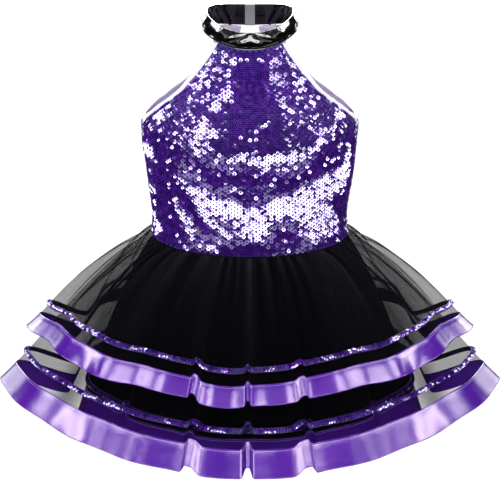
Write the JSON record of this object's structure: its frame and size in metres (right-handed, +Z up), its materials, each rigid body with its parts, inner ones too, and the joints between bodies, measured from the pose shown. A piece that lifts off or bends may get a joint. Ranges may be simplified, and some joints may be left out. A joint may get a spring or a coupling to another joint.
{
  "type": "ballet tutu dress",
  "caption": "Child's halter tutu dress: black patent stand collar, violet sequinned bodice with keyhole back, tiered black tulle skirt with sequin braid and satin ribbon hems.",
  "frame": {"origin": "middle of the collar's hollow, on the wearer's neck", "axes": "+Z up through the collar, -Y out of the dress's front, +X towards the wearer's left"},
  "size_m": [0.5404, 0.4486, 0.4539],
  "materials": {
    "patent": "black patent, very high shine",
    "closure_tape": "matt grey woven tape",
    "sequin_cloth": "violet cup sequins in close columns on stretch cloth",
    "lavender_satin": "pale lavender satin, soft sheen",
    "violet_satin": "violet satin ribbon, bright sheen",
    "tulle": "sheer black soft tulle",
    "lining_cloth": "matt black opaque lining",
    "sequin_braid": "strung violet sequins, mirror bright"
  },
  "bodies": {
    "root": {"collar": "patent", "collar_closure": "closure_tape", "bodice_front": "sequin_cloth", "bodice_back": "sequin_cloth", "armhole_band_left": "lavender_satin", "armhole_band_right": "lavender_satin", "keyhole_binding": "lavender_satin", "skirt_lining": "lining_cloth", "upper_tier_tulle": "tulle", "upper_tier_braid": "sequin_braid", "upper_tier_ribbon": "violet_satin", "lower_tier_tulle": "tulle", "lower_tier_braid": "sequin_braid", "lower_tier_ribbon": "violet_satin", "under_tier_tulle": "tulle", "under_tier_braid": "sequin_braid", "under_tier_ribbon": "violet_satin"}
  },
  "joints": []
}
